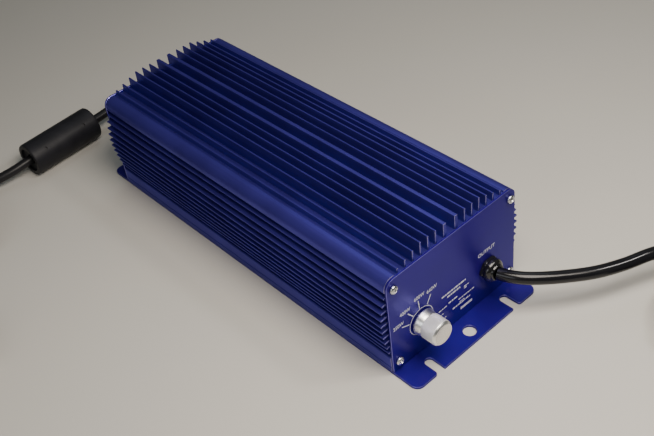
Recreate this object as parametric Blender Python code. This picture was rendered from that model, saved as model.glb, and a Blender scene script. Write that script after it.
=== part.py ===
"""Electronic ballast that drives a grow lamp: a finned aluminium housing on a slotted base plate, two
end plates, a power selector knob, two cable glands, the circuit board inside, and both cords.

Blender 4.5, metres, +Z up. The front, with the knob, faces -Y. The base plate stands on Z = 0 and the
origin is under the middle of the plate. Sizes below are in millimetres, and MM scales them."""

import math

import bmesh
import bpy
from mathutils import Matrix, Vector
from mathutils.geometry import delaunay_2d_cdt

MM = 0.001
GAP = 0.3  # clearance that touching pieces keep

# Housing and its plates
HOUSING_LENGTH = 312.0  # over both end plates
PLATE_WIDTH = 120.0
PLATE_TOP = 83.0
PLATE_THICKNESS = 1.6
CORNER_RADIUS = 7.0
BASE_THICKNESS = 2.0
FLANGE = 21.0  # how far the base plate runs past each end plate
SLOT_X = 37.7
SLOT_WIDTH = 6.4
SLOT_DEPTH = 14.0
SLOT_OUTER_RADIUS = 2.2  # the mouth's corners, on the side of the plate's corner and of its middle
SLOT_INNER_RADIUS = 0.5
FLANGE_CORNER_RADIUS = 6.0
FLANGE_HOLE_RADIUS = 4.7
FLANGE_HOLE_INSET = 9.2  # from the flange's edge to the hole's centre
SCREW_X = 54.5
SCREW_HEIGHTS = (10.2, 75.1)
PORT_RADIUS = 2.0
BASE_SCREW_X = 55.0
BASE_SCREW_Y = 128.0

# Fins: the top ones stand up from a floor, the side ones stick out from a wall
TOP_FLOOR = 81.8
FIN_TOP = 93.0
THIN_FIN_X = (13.4, 20.2, 27.0, 33.8, 40.6, 47.4)
THIN_FIN_TOPS = (FIN_TOP, FIN_TOP, FIN_TOP, 90.6, 88.2, 86.0)
THICK_FIN_X = 5.2
THICK_FIN_WIDTH = 2.8
THIN_FIN_WIDTH = 1.2
SIDE_FINS = 10
SIDE_FIN_LOWEST = 20.4
SIDE_FIN_PITCH = 5.45
SIDE_FIN_REACH = 65.2
SIDE_ROOT = 57.0
SIDE_INNER = 54.2

# Front panel
KNOB_X = -32.2
KNOB_Z = 30.0
KNOB_RADIUS = 8.9
KNOB_REACH = 19.0
SET_SCREW_HEIGHT = 12.5  # from the front plate to the set screw that holds the knob on its shaft
SET_SCREW_SIDE = math.radians(20)
OUTPUT_X = 32.5
INPUT_X = 30.0
GLAND_Z = 29.5

# Circuit board
BOARD_UNDER = 20.0
BOARD_TOP = 21.6
BOARD_HALF_WIDTH = 53.9
BOARD_HALF_LENGTH = 139.0

# Cords
OUTPUT_DIAMETER = 9.0
INPUT_DIAMETER = 8.0
FERRITE_RADIUS = 14.6
FERRITE_ENDS = ((-41.6, 236.2, 14.9), (-108.2, 230.5, 14.9))
TIE_LIFT = 1.4  # the coils lie on their ties
INPUT_COIL = {"centre": (-218.5, 198.0), "mean": 40.0, "wide": 16.0, "high": 24.0}
OUTPUT_COIL = {"centre": (126.0, -295.0), "mean": 45.0, "wide": 18.0, "high": 27.0}
TIE_LENGTH = 14.0
TIE_THICKNESS = 1.1

FRONT = -HOUSING_LENGTH / 2
REAR = HOUSING_LENGTH / 2
PLATE_BOTTOM = BASE_THICKNESS + GAP
HALF_WIDTH = PLATE_WIDTH / 2

# Route of the output cord: out of its gland, round to the right and down onto its coil
OUTPUT_ROUTE = [
    (32.5, -144.0, 29.5),
    (32.5, -153.0, 29.5),
    (32.5, -162.0, 29.5),
    (34.2, -170.5, 29.5),
    (38.2, -178.0, 29.4),
    (43.6, -184.7, 29.1),
    (50.6, -191.5, 28.7),
    (60.5, -199.6, 28.0),
    (76.8, -211.2, 27.2),
    (95.2, -220.4, 26.8),
    (112.0, -227.2, 25.6),
    (122.5, -231.1, 21.6),
]
OUTPUT_TAIL = [
    (93.0, -344.5, 5.9),
    (83.0, -344.1, 6.4),
    (71.0, -341.6, 8.8),
    (59.0, -337.2, 12.4),
    (49.0, -334.6, 14.5),
    (39.0, -334.0, 15.0),
    (29.0, -334.0, 15.0),
    (19.0, -334.0, 15.0),
]
# Route of the mains cord: out of its strain relief, round to the left, through the ferrite, to its coil
INPUT_ROUTE = [
    (30.0, 148.0, 29.5),
    (30.0, 164.0, 29.5),
    (30.0, 180.0, 29.5),
    (29.6, 194.0, 29.0),
    (25.4, 210.0, 26.9),
    (15.6, 224.0, 23.4),
    (0.5, 233.6, 19.3),
    (-18.0, 237.6, 16.2),
    (-30.0, 237.2, 15.1),
    (-41.6, 236.2, 14.9),
    (-75.0, 233.35, 14.9),
    (-108.2, 230.5, 14.9),
    (-122.0, 230.6, 13.4),
    (-136.0, 233.3, 11.4),
    (-152.0, 238.0, 8.9),
    (-170.0, 240.9, 6.9),
    (-188.0, 241.8, 5.6),
]
INPUT_TAIL = [
    (-262.2, 168.0, 12.4),
    (-261.2, 160.0, 11.9),
    (-259.2, 151.0, 11.7),
    (-256.4, 142.0, 12.3),
    (-253.8, 133.0, 13.3),
    (-252.2, 125.0, 13.9),
    (-252.0, 117.5, 14.0),
    (-252.0, 110.0, 14.0),
]

for old in list(bpy.data.objects):
    bpy.data.objects.remove(old, do_unlink=True)


def material(name, colour, roughness, metallic=0.0):
    made = bpy.data.materials.new(name)
    made.use_nodes = True
    made.diffuse_color = (*colour, 1.0)
    shader = made.node_tree.nodes["Principled BSDF"]
    shader.inputs["Base Color"].default_value = (*colour, 1.0)
    shader.inputs["Roughness"].default_value = roughness
    shader.inputs["Metallic"].default_value = metallic
    return made


BLUE = material("blue_anodised", (0.02, 0.03, 0.20), 0.35, 0.6)
BLUE_PLATE = material("blue_plate", (0.015, 0.02, 0.22), 0.25, 0.5)
STEEL = material("bright_steel", (0.75, 0.76, 0.74), 0.25, 1.0)
KNOB_METAL = material("turned_aluminium", (0.83, 0.84, 0.82), 0.3, 1.0)
BRASS = material("brass", (0.75, 0.55, 0.22), 0.3, 1.0)
BLACK = material("black_plastic", (0.02, 0.02, 0.02), 0.4)
CORD_BLACK = material("black_cord", (0.015, 0.015, 0.017), 0.3)
GREEN = material("green_board", (0.02, 0.18, 0.07), 0.45)
COPPER = material("copper_winding", (0.55, 0.22, 0.08), 0.35, 0.8)
YELLOW = material("yellow_tape", (0.75, 0.55, 0.05), 0.5)
SLEEVE = material("capacitor_sleeve", (0.03, 0.06, 0.16), 0.35)
GREY = material("grey_pad", (0.45, 0.45, 0.47), 0.7)
CLEAR = material("pale_sheet", (0.8, 0.8, 0.76), 0.5)


def make_object(name, mesh, finish, location=(0, 0, 0), rotation=(0, 0, 0), parent=None):
    """Turns a bmesh, in millimetres, into an object."""
    bmesh.ops.recalc_face_normals(mesh, faces=mesh.faces)
    bmesh.ops.scale(mesh, vec=(MM, MM, MM), verts=mesh.verts)
    data = bpy.data.meshes.new(name)
    mesh.to_mesh(data)
    mesh.free()
    data.materials.append(finish)
    return place(name, data, location, rotation, parent)


def place(name, data, location=(0, 0, 0), rotation=(0, 0, 0), parent=None):
    made = bpy.data.objects.new(name, data)
    bpy.context.scene.collection.objects.link(made)
    made.location = Vector(location) * MM
    made.rotation_euler = rotation
    made.parent = parent
    return made


def rounded(corners, steps=5):
    """Outline through corners given as (a, b, radius), each radius worked in as an arc."""
    points = []
    for i, (a, b, radius) in enumerate(corners):
        corner = Vector((a, b))
        if radius == 0:
            points.append((a, b))
            continue
        before = (Vector(corners[i - 1][:2]) - corner).normalized()
        after = (Vector(corners[(i + 1) % len(corners)][:2]) - corner).normalized()
        half = before.angle(after) / 2
        centre = corner + (before + after).normalized() * radius / math.sin(half)
        first = corner + before * radius / math.tan(half) - centre
        last = corner + after * radius / math.tan(half) - centre
        start = math.atan2(first.y, first.x)
        sweep = math.remainder(math.atan2(last.y, last.x) - start, 2 * math.pi)
        for k in range(steps + 1):
            angle = start + sweep * k / steps
            point = centre + radius * Vector((math.cos(angle), math.sin(angle)))
            points.append((point.x, point.y))
    return points


def circle(a, b, radius, steps=24):
    turns = [2 * math.pi * k / steps for k in range(steps)]
    return [(a + radius * math.cos(t), b + radius * math.sin(t)) for t in turns]


def rectangle(a0, a1, b0, b1, radius=0.0):
    return rounded([(a0, b0, radius), (a1, b0, radius), (a1, b1, radius), (a0, b1, radius)], 3)


def inside(point, loop):
    """Whether a point is inside a closed outline."""
    a, b = point
    odd = False
    for (a0, b0), (a1, b1) in zip(loop, loop[1:] + loop[:1]):
        if (b0 > b) != (b1 > b) and a < (a1 - a0) * (b - b0) / (b1 - b0) + a0:
            odd = not odd
    return odd


def sheet(outline, low, high, holes=(), axis="Z"):
    """Solid between two heights along an axis, with this outline and these holes."""
    loops = [list(outline), *[list(hole) for hole in holes]]
    flat = [point for loop in loops for point in loop]
    edges = []
    for loop in loops:
        first = len(edges)
        edges += [(first + i, first + (i + 1) % len(loop)) for i in range(len(loop))]
    _, _, triangles, sources, *_ = delaunay_2d_cdt([Vector(p) for p in flat], edges, [], 0, 1e-7)
    mesh = bmesh.new()
    levels = []
    for height in (low, high):
        if axis == "Z":
            levels.append([mesh.verts.new((a, b, height)) for a, b in flat])
        elif axis == "Y":
            levels.append([mesh.verts.new((a, height, b)) for a, b in flat])
        else:
            levels.append([mesh.verts.new((height, a, b)) for a, b in flat])
    for triangle in triangles:
        corners = [sources[i][0] for i in triangle]
        middle = (sum(flat[i][0] for i in corners) / 3, sum(flat[i][1] for i in corners) / 3)
        if not inside(middle, loops[0]) or any(inside(middle, hole) for hole in loops[1:]):
            continue
        for level in levels:
            mesh.faces.new([level[i] for i in corners])
    for i, j in edges:
        mesh.faces.new((levels[0][i], levels[0][j], levels[1][j], levels[1][i]))
    return mesh


def lathe(profile, segments=32):
    """Solid turned about Z from (radius, height) points. A third value gives that ring flat sides, so many
    of them. A profile that starts and ends on the axis closes there, and any other makes a ring."""
    mesh = bmesh.new()
    rings = []
    for radius, height, *corners in profile:
        if radius == 0:
            rings.append([mesh.verts.new((0, 0, height))])
            continue
        ring = []
        for k in range(segments):
            angle = 2 * math.pi * k / segments
            reach = radius
            if corners:
                step = 2 * math.pi / corners[0]
                reach = radius * math.cos(step / 2) / math.cos(angle % step - step / 2)
            ring.append(mesh.verts.new((reach * math.cos(angle), reach * math.sin(angle), height)))
        rings.append(ring)
    pairs = list(zip(rings, rings[1:]))
    if len(rings[0]) > 1:
        pairs.append((rings[-1], rings[0]))
    for lower, upper in pairs:
        for k in range(segments):
            after = (k + 1) % segments
            if len(lower) == 1:
                mesh.faces.new((lower[0], upper[k], upper[after]))
            elif len(upper) == 1:
                mesh.faces.new((lower[k], lower[after], upper[0]))
            else:
                mesh.faces.new((lower[k], lower[after], upper[after], upper[k]))
    return mesh


def block(name, x, y, z, finish, radius=0.0):
    """Box between two corners, its upright edges rounded."""
    return make_object(name, sheet(rectangle(*x, *y, radius), *z), finish)


def boolean(target, tool, operation="DIFFERENCE"):
    """Cuts a hidden tool object out of a target, or joins it on."""
    tool.hide_render = True
    tool.display_type = "WIRE"
    step = target.modifiers.new(tool.name, "BOOLEAN")
    step.operation = operation
    step.solver = "EXACT"
    step.object = tool


TO_FRONT = (math.pi / 2, 0, 0)
TO_REAR = (-math.pi / 2, 0, 0)


# Housing -------------------------------------------------------------------------------------------


def side_fin_reach(height):
    """The side fins' tips follow an arch that stands out furthest a little above the middle."""
    if height > 48.0:
        return SIDE_FIN_REACH - 4.3 * ((height - 48.0) / 21.5) ** 2
    return SIDE_FIN_REACH - 4.2 * ((48.0 - height) / 27.6) ** 1.8


def half_profile():
    """The right half of the housing's section, from the top of its middle down the outside and back up
    the inside."""
    near, far = THICK_FIN_X - THICK_FIN_WIDTH / 2, THICK_FIN_X + THICK_FIN_WIDTH / 2
    points = [(near, TOP_FLOOR), (near, FIN_TOP), (far, FIN_TOP), (far, TOP_FLOOR)]
    half = THIN_FIN_WIDTH / 2
    for x, top in zip(THIN_FIN_X, THIN_FIN_TOPS):
        root = half + 0.15
        points += [(x - root, TOP_FLOOR), (x - half, top), (x + half, top), (x + root, TOP_FLOOR)]
    points += [(50.4, TOP_FLOOR), (50.9, PLATE_TOP)]
    centre = (HALF_WIDTH - CORNER_RADIUS, PLATE_TOP - CORNER_RADIUS)
    for k in range(7):
        angle = math.pi / 2 * (1 - k / 6)
        across, up = CORNER_RADIUS * math.cos(angle), CORNER_RADIUS * math.sin(angle)
        points.append((centre[0] + across, centre[1] + up))
    points += [(HALF_WIDTH, 74.0), (HALF_WIDTH - 0.5, 73.4), (SIDE_ROOT, 73.4)]
    for i in reversed(range(SIDE_FINS)):
        height = SIDE_FIN_LOWEST + i * SIDE_FIN_PITCH
        tip = side_fin_reach(height)
        points += [(SIDE_ROOT, height + 0.9), (tip, height + 0.6)]
        points += [(tip, height - 0.6), (SIDE_ROOT, height - 0.9)]
    points += [(SIDE_ROOT, 15.2), (HALF_WIDTH - 0.6, 15.2), (HALF_WIDTH, 14.4)]
    points += [(HALF_WIDTH, 6.4), (HALF_WIDTH - 0.5, 5.9), (HALF_WIDTH, 5.4)]
    points += [(HALF_WIDTH, PLATE_BOTTOM)]
    points += [(50.0, PLATE_BOTTOM), (50.0, 7.0), (49.2, 8.6), (49.2, 12.4), (50.6, 14.8), (51.4, 16.2)]
    points += [(51.4, 19.7), (SIDE_INNER, 19.7), (SIDE_INNER, 21.9), (51.4, 21.9), (51.4, 24.2)]
    points += [(SIDE_INNER, 24.8), (SIDE_INNER, 69.6), (51.0, 70.8), (49.4, 73.2)]
    points += [(49.2, 76.8), (47.6, 78.6)]
    return points


def make_housing():
    right = half_profile()
    left = [(-x, z) for x, z in reversed(right)]
    ports = [circle(x, z, PORT_RADIUS, 16) for x in (-SCREW_X, SCREW_X) for z in SCREW_HEIGHTS]
    inset = PLATE_THICKNESS + GAP
    housing = make_object("housing", sheet(right + left, FRONT + inset, REAR - inset, ports, "Y"), BLUE)
    hole = [(0, 1.0), (1.6, 1.0), (1.6, 8.0), (0, 8.0)]
    for x, y in base_screw_places():
        tool = make_object(f"cut_housing_{x:.0f}_{y:.0f}", lathe(hole, 16), STEEL, (x, y, 0))
        boolean(housing, tool)


def base_screw_places():
    return [(x, y) for y in (-BASE_SCREW_Y, BASE_SCREW_Y) for x in (-BASE_SCREW_X, BASE_SCREW_X)]


def flange_outline(end):
    """Corners of one flange's edge, from left to right at the front (-1) and back again at the rear (1)."""
    edge = end * (REAR + FLANGE)
    bottom = end * (REAR + FLANGE - SLOT_DEPTH)
    half = SLOT_WIDTH / 2
    corners = [(-HALF_WIDTH, edge, FLANGE_CORNER_RADIUS)]
    for x in (-SLOT_X, SLOT_X):
        first, last = (SLOT_OUTER_RADIUS, SLOT_INNER_RADIUS)
        if x > 0:
            first, last = last, first
        corners += [(x - half, edge, first), (x - half, bottom, half - 0.05)]
        corners += [(x + half, bottom, half - 0.05), (x + half, edge, last)]
    corners.append((HALF_WIDTH, edge, FLANGE_CORNER_RADIUS))
    return corners if end < 0 else corners[::-1]


def make_base_plate():
    reach = REAR + FLANGE - FLANGE_HOLE_INSET
    holes = [circle(0, end * reach, FLANGE_HOLE_RADIUS) for end in (-1, 1)]
    outline = rounded(flange_outline(-1) + flange_outline(1), 5)
    plate = make_object("base_plate", sheet(outline, 0, BASE_THICKNESS, holes), BLUE_PLATE)
    sink = [(0, -1.0), (3.2, -1.0), (3.2, 0.3), (1.8, 1.8), (1.8, 3.0), (0, 3.0)]
    for x, y in base_screw_places():
        tool = make_object(f"cut_plate_{x:.0f}_{y:.0f}", lathe(sink, 16), STEEL, (x, y, 0))
        boolean(plate, tool)


def make_end_plate(name, end, holes):
    """Flat sheet over one end of the housing, with these holes besides its four screw holes."""
    outer = end * REAR
    low, high = sorted((outer, outer - end * PLATE_THICKNESS))
    radius = CORNER_RADIUS
    outline = rounded(
        [
            (-HALF_WIDTH, PLATE_BOTTOM, 1.2),
            (HALF_WIDTH, PLATE_BOTTOM, 1.2),
            (HALF_WIDTH, PLATE_TOP, radius),
            (-HALF_WIDTH, PLATE_TOP, radius),
        ],
        6,
    )
    screw_holes = [circle(x, z, 2.2, 16) for x in (-SCREW_X, SCREW_X) for z in SCREW_HEIGHTS]
    make_object(name, sheet(outline, low, high, screw_holes + holes, "Y"), BLUE_PLATE)


def cross_tool(name, depth, reach):
    """Cross-shaped cutter for a screw's recess, pointing up from its bottom at height 0."""
    arm = 0.45
    outline = []
    for turn in range(4):
        spin = math.pi / 2 * turn
        for a, b in ((arm, arm), (arm, reach), (-arm, reach)):
            point = Vector((a, b))
            point.rotate(Matrix.Rotation(spin, 2))
            outline.append((point.x, point.y))
    return make_object(name, sheet(outline, 0, depth), STEEL)


def screw_mesh(name, profile, top, recess_depth, recess_reach):
    """Screw turned from a profile, its head upwards, with a cross recess. It is made once and used by
    every screw of its kind."""
    body = make_object(name, lathe(profile, 16), STEEL)
    tool = cross_tool(f"cut_{name}", recess_depth + 1.0, recess_reach)
    tool.location.z = (top - recess_depth) * MM
    boolean(body, tool)
    bpy.context.view_layer.update()
    made = bpy.data.meshes.new_from_object(body.evaluated_get(bpy.context.evaluated_depsgraph_get()))
    for used in (body, tool):
        bpy.data.objects.remove(used, do_unlink=True)
    return made


def make_screws():
    shank, length = 1.65, 10.0
    pan = [(0, -length), (shank - 0.5, -length), (shank, -length + 0.6), (shank, GAP), (3.1, GAP)]
    pan += [(3.1, 1.2), (2.6, 2.0), (1.6, 2.4), (0, 2.5)]
    head = screw_mesh("pan_head_screw", pan, 2.5, 1.2, 1.6)
    for end, label in ((-1, "front"), (1, "rear")):
        for x, side in ((-SCREW_X, "left"), (SCREW_X, "right")):
            for z, level in zip(SCREW_HEIGHTS, ("lower", "upper")):
                turn = TO_FRONT if end < 0 else TO_REAR
                place(f"{label}_screw_{level}_{side}", head, (x, end * REAR, z), turn)
    flat = [(0, -7.4), (1.0, -7.4), (1.3, -7.0), (1.3, -1.6), (2.8, -0.1), (0, -0.1)]
    sunk = screw_mesh("countersunk_screw", flat, -0.1, 0.9, 1.2)
    for number, (x, y) in enumerate(base_screw_places(), 1):
        place(f"base_screw_{number}", sunk, (x, y, 0), (math.pi, 0, 0))


# Power selector ------------------------------------------------------------------------------------


def make_selector():
    """Rotary switch behind the front plate and the knob on its shaft. The knob, its set screw and the
    shaft turn together about the empty knob_axis."""
    axis = bpy.data.objects.new("knob_axis", None)
    bpy.context.scene.collection.objects.link(axis)
    axis.location = Vector((KNOB_X, FRONT, KNOB_Z)) * MM
    axis.rotation_euler = TO_FRONT
    skirt = [(9.5, 1.5), (9.5, 2.3), (9.0, 3.8), (8.35, 5.6), (8.0, 7.6), (8.0, 8.0)]
    head = [(KNOB_RADIUS - 0.2, 8.3), (KNOB_RADIUS, 8.7), (KNOB_RADIUS, 18.0)]
    head += [(8.2, KNOB_REACH), (0, KNOB_REACH)]
    bore = [(0, 16.0), (3.2, 16.0), (3.2, 6.4), (7.2, 6.4), (7.2, 1.5)]
    knob = make_object("knob", lathe(bore + skirt + head, 40), KNOB_METAL, parent=axis)
    seat = (0, 0, SET_SCREW_HEIGHT)
    turn = (math.pi / 2, 0, SET_SCREW_SIDE)
    bore = [(0, 1.0), (1.5, 1.0), (1.5, 12.0), (0, 12.0)]
    boolean(knob, make_object("cut_knob_set_screw", lathe(bore, 16), STEEL, seat, turn, axis))
    grub = [(0, 3.3), (1.2, 3.3), (1.2, 7.6), (0.6, 7.6), (0.6, 6.2), (0, 6.2)]
    make_object("knob_set_screw", lathe(grub, 16), STEEL, seat, turn, axis)
    shaft = [(0, -3.6), (2.9, -3.6), (2.9, 15.2), (2.5, 15.7), (0, 15.7)]
    make_object("selector_shaft", lathe(shaft, 24), STEEL, parent=axis)
    fixed = {"location": (KNOB_X, FRONT, KNOB_Z), "rotation": TO_FRONT}
    back = -PLATE_THICKNESS - GAP
    body = [(0, -4.2), (3.3, -4.2), (3.3, 5.2), (4.6, 5.2), (4.6, back), (12.5, back)]
    body += [(13.0, back - 0.5), (13.0, -13.0), (12.0, -14.0), (0, -14.0)]
    make_object("selector_switch", lathe(body, 24), BLACK, **fixed)
    washer = [(4.9, GAP), (6.9, GAP), (6.9, 1.0), (4.9, 1.0)]
    make_object("selector_washer", lathe(washer, 24), STEEL, **fixed)
    nut = [(4.9, 1.3), (6.3, 1.3, 6), (6.3, 3.6, 6), (4.9, 3.6)]
    make_object("selector_nut", lathe(nut, 24), BRASS, **fixed)


# Cable glands --------------------------------------------------------------------------------------


def make_gland(prefix, x, end, cord_radius):
    """Screwed gland: a flanged body through the plate, a domed nut outside and a locknut inside."""
    fixed = {"location": (x, end * REAR, GLAND_Z), "rotation": TO_FRONT if end < 0 else TO_REAR}
    bore = cord_radius + 0.5
    back = -PLATE_THICKNESS - GAP
    body = [(bore, -9.0), (6.6, -9.0), (6.6, GAP), (8.6, GAP, 6), (8.6, 4.0, 6), (bore, 4.0)]
    make_object(f"{prefix}_gland_body", lathe(body, 24), BLACK, **fixed)
    nut = [(bore, 4.3), (8.2, 4.3, 12), (8.2, 6.2, 12), (7.6, 7.8)]
    nut += [(bore + 2.1, 9.2), (bore + 1.6, 9.2), (bore, 6.0)]
    make_object(f"{prefix}_gland_nut", lathe(nut, 24), BLACK, **fixed)
    locknut = [(6.9, back), (9.6, back, 6), (9.6, back - 3.5, 6), (6.9, back - 3.5)]
    make_object(f"{prefix}_gland_locknut", lathe(locknut, 24), BLACK, **fixed)


def make_strain_relief():
    """Tapered sleeve that the mains cord leaves the rear gland through."""
    bore = INPUT_DIAMETER / 2 + 0.5
    sleeve = [(bore, 9.6), (6.6, 9.6), (6.6, 12.0), (6.0, 20.0), (5.5, 30.0)]
    sleeve += [(bore + 0.5, 30.6), (bore, 28.0)]
    make_object("input_strain_relief", lathe(sleeve, 24), BLACK, (INPUT_X, REAR, GLAND_Z), TO_REAR)


# Circuit -------------------------------------------------------------------------------------------


def make_circuit():
    """Board in the housing's side grooves, with the power parts that stand on it."""
    length, width = (-BOARD_HALF_LENGTH, BOARD_HALF_LENGTH), (-BOARD_HALF_WIDTH, BOARD_HALF_WIDTH)
    block("insulation_sheet", (-49.6, 49.6), length, (2.4, 3.0), CLEAR)
    block("circuit_board", width, length, (BOARD_UNDER, BOARD_TOP), GREEN)
    seat = BOARD_TOP + GAP
    block("input_terminal", (18, 42), (120, 134), (seat, 36), GREEN, 0.5)
    block("output_terminal", (20, 46), (-136, -122), (seat, 36), GREEN, 0.5)
    fuse = [(0, -13), (3.2, -13), (3.2, 13), (0, 13)]
    make_object("input_fuse", lathe(fuse, 20), CLEAR, (-38, 118, 26.0), TO_REAR)
    choke = [(8.0, 1.0), (9.0, 0.0), (17.0, 0.0), (18.0, 1.0)]
    choke += [(18.0, 17.0), (17.0, 18.0), (9.0, 18.0), (8.0, 17.0)]
    make_object("emi_choke", lathe(choke, 24), COPPER, (-4, 114, seat))
    block("suppression_capacitor", (-34, -22), (76, 104), (seat, 44), YELLOW, 1.0)
    block("bridge_rectifier", (-12, 18), (80, 86), (seat, 42), BLACK, 0.8)
    block("boost_inductor", (-30, 6), (28, 68), (seat, 56), YELLOW, 2.0)
    can = [(0, 0), (14.0, 0), (15.0, 0.8), (15.0, 4.0), (14.3, 5.0), (15.0, 6.0)]
    can += [(15.0, 45.2), (14.4, 46.0), (0, 46.0)]
    for number, y in enumerate((58, 24), 1):
        make_object(f"bulk_capacitor_{number}", lathe(can, 24), SLEEVE, (29, y, seat))
    block("output_transformer", (-22, 24), (-58, -10), (seat, 64), COPPER, 2.0)
    block("ignition_coil", (-34, -6), (-108, -76), (seat, 50), YELLOW, 3.0)
    block("output_relay", (12, 30), (-106, -76), (seat, 44), BLACK, 0.8)
    wall = -SIDE_INNER + GAP
    block("thermal_pad", (wall, wall + 0.6), (-56, 66), (26.0, 62.0), GREY)
    back = wall + 0.6 + GAP
    for number, y in enumerate((48, 20, -8, -36), 1):
        block(f"power_transistor_{number}", (back, back + 5.0), (y - 8, y + 8), (30.0, 51.0), BLACK)
    block("transistor_clamp", (back + 5.3, back + 7.8), (-52, 62), (38.0, 50.0), STEEL)


# Cords ---------------------------------------------------------------------------------------------


def smooth(route, step):
    """Points a step apart on a smooth curve through the route's points."""
    points = [Vector(p) for p in route]
    points = [2 * points[0] - points[1], *points, 2 * points[-1] - points[-2]]
    line = []
    for before, start, end, after in zip(points, points[1:], points[2:], points[3:]):
        for k in range(24):
            t = k / 24
            square = (2 * before - 5 * start + 4 * end - after) * t**2
            cube = (3 * start - before - 3 * end + after) * t**3
            line.append((2 * start + (end - before) * t + square + cube) / 2)
    line.append(points[-2])
    runs = [(b - a).length for a, b in zip(line, line[1:])]
    count = max(2, round(sum(runs) / step))
    spaced = [line[0]]
    travelled, wanted = 0.0, sum(runs) / count
    for a, b, run in zip(line, line[1:], runs):
        while travelled + run >= wanted * len(spaced) and len(spaced) < count:
            spaced.append(a.lerp(b, (wanted * len(spaced) - travelled) / run))
        travelled += run
    return [*spaced, line[-1]]


def tube(name, route, diameter):
    """Cord along a route, as a curve with a round bevel."""
    curve = bpy.data.curves.new(name, "CURVE")
    curve.dimensions = "3D"
    curve.bevel_depth = diameter / 2 * MM
    curve.bevel_resolution = 3
    curve.render_resolution_u = 0
    curve.use_fill_caps = True
    points = smooth(route, 2 * diameter)
    spline = curve.splines.new("POLY")
    spline.points.add(len(points) - 1)
    for slot, point in zip(spline.points, points):
        slot.co = (*(point * MM), 1)
    curve.materials.append(CORD_BLACK)
    return place(name, curve)


def coil(prefix, shape, tie_angle):
    """Outer shape of a wound coil, a ring that lies on its tie, and the tie round its bundle."""
    x, y = shape["centre"]
    inner = shape["mean"] - shape["wide"] / 2
    outer = shape["mean"] + shape["wide"] / 2
    edge = 2.5
    low, high = TIE_LIFT, TIE_LIFT + shape["high"]
    ring = [(inner, low + edge), (inner + edge, low), (outer - edge, low), (outer, low + edge)]
    ring += [(outer, high - edge), (outer - edge, high), (inner + edge, high), (inner, high - edge)]
    make_object(f"{prefix}_coil", lathe(ring, 40), CORD_BLACK, (x, y, 0))
    slack = inner - math.sqrt(inner**2 - (TIE_LENGTH / 2) ** 2) + GAP
    near, far = inner - slack, outer + GAP
    wall = TIE_THICKNESS
    hole = rectangle(near, far, wall, high + GAP, 1.0)
    outline = rectangle(near - wall, far + wall, 0, high + GAP + wall, 2.0)
    band = sheet(outline, -TIE_LENGTH / 2, TIE_LENGTH / 2, [hole], "Y")
    make_object(f"{prefix}_tie", band, BLACK, (x, y, 0), (0, 0, tie_angle))


def make_ferrite():
    """Moulded ferrite sleeve that the mains cord passes through."""
    start, end = (Vector(p) for p in FERRITE_ENDS)
    along = end - start
    length, outer, bore = along.length, FERRITE_RADIUS, INPUT_DIAMETER / 2 + 0.6
    sleeve = [(bore, 0), (outer - 4, 0), (outer - 1.2, 1.2), (outer, 4)]
    sleeve += [(outer, length - 4), (outer - 1.2, length - 1.2), (outer - 4, length), (bore, length)]
    made = make_object("ferrite_core", lathe(sleeve, 24), BLACK, start)
    made.rotation_mode = "QUATERNION"
    made.rotation_quaternion = Vector((0, 0, 1)).rotation_difference(along)


def make_plug():
    """Mains plug on the end of the input cord, lying flat and pointing to -Y, its pins joined on."""
    x, y, z = INPUT_TAIL[-1]
    back = y - GAP
    body = [(0, 0), (5.2, 0), (6.4, 14), (9.0, 18), (12.6, 24)]
    body += [(13.4, 32), (13.4, 44), (12.8, 45), (0, 45)]
    plug = make_object("mains_plug", lathe(body, 24), BLACK, (x, back, z), TO_FRONT)
    pins = [rectangle(-7.1, -5.6, -3.2, 3.2), rectangle(5.6, 7.1, -3.2, 3.2), circle(0, 6.5, 2.4, 12)]
    for number, outline in enumerate(pins, 1):
        pin = make_object(f"join_pin_{number}", sheet(outline, 43, 62), STEEL, (x, back, z), TO_FRONT)
        boolean(plug, pin, "UNION")


def make_lamp_connector():
    """Round in-line connector for the lamp's lead, on the end of the output cord and pointing to -X."""
    x, y, z = OUTPUT_TAIL[-1]
    body = [(0, 0), (6.0, 0), (7.2, 12), (9.5, 16), (13.6, 20), (14.0, 22), (14.0, 46), (13.0, 47)]
    body += [(13.0, 54), (12.4, 55), (0, 55)]
    make_object("lamp_connector", lathe(body, 24), BLACK, (x - GAP, y, z), (0, -math.pi / 2, 0))


make_housing()
make_base_plate()
make_end_plate(
    "front_plate", -1, [circle(KNOB_X, KNOB_Z, 4.9, 24), circle(OUTPUT_X, GLAND_Z, 6.9, 24)]
)
make_end_plate("rear_plate", 1, [circle(INPUT_X, GLAND_Z, 6.9, 24)])
make_screws()
make_selector()
make_gland("output", OUTPUT_X, -1, OUTPUT_DIAMETER / 2)
make_gland("input", INPUT_X, 1, INPUT_DIAMETER / 2)
make_strain_relief()
make_circuit()
tube("output_cord", OUTPUT_ROUTE, OUTPUT_DIAMETER)
coil("output", OUTPUT_COIL, math.radians(150))
tube("output_cord_tail", OUTPUT_TAIL, OUTPUT_DIAMETER)
make_lamp_connector()
tube("input_cord", INPUT_ROUTE, INPUT_DIAMETER)
make_ferrite()
coil("input", INPUT_COIL, math.radians(-45))
tube("input_cord_tail", INPUT_TAIL, INPUT_DIAMETER)
make_plug()
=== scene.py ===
"""Finned grow-lamp ballast on a pale floor: a blue aluminium case with a selector knob on its front
plate, a lamp lead out of the front and a mains lead with a ferrite core out of the rear."""

import math

import bmesh
import bpy
from mathutils import Euler, Matrix, Vector
from mathutils.geometry import delaunay_2d_cdt


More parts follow.
